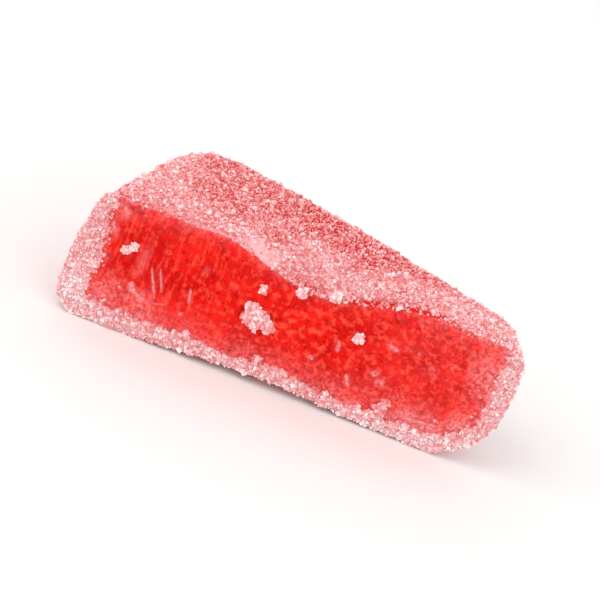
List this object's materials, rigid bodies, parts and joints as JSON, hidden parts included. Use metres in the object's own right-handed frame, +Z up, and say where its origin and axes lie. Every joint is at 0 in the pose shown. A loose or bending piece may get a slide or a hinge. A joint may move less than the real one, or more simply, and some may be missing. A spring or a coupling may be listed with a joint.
{
  "type": "sugar-coated fruit jelly candy",
  "caption": "Cut wedge of translucent red fruit jelly candy, glossy on its cut face and crusted with coarse white sugar on every other side.",
  "frame": {"origin": "middle of the underside of the bounding box, on the surface that the piece lies on", "axes": "+X along the cut face towards the narrow end of the wedge, the cut face looks towards -Y, +Z up through the slab's thickness"},
  "size_m": [0.0396, 0.017, 0.0122],
  "materials": {
    "red_jelly": "translucent red fruit jelly, wet gloss where it is cut",
    "coating_sugar": "white granulated sugar, clear angular grains that let the red through"
  },
  "bodies": {
    "root": {"jelly_candy": "red_jelly"}
  },
  "joints": []
}
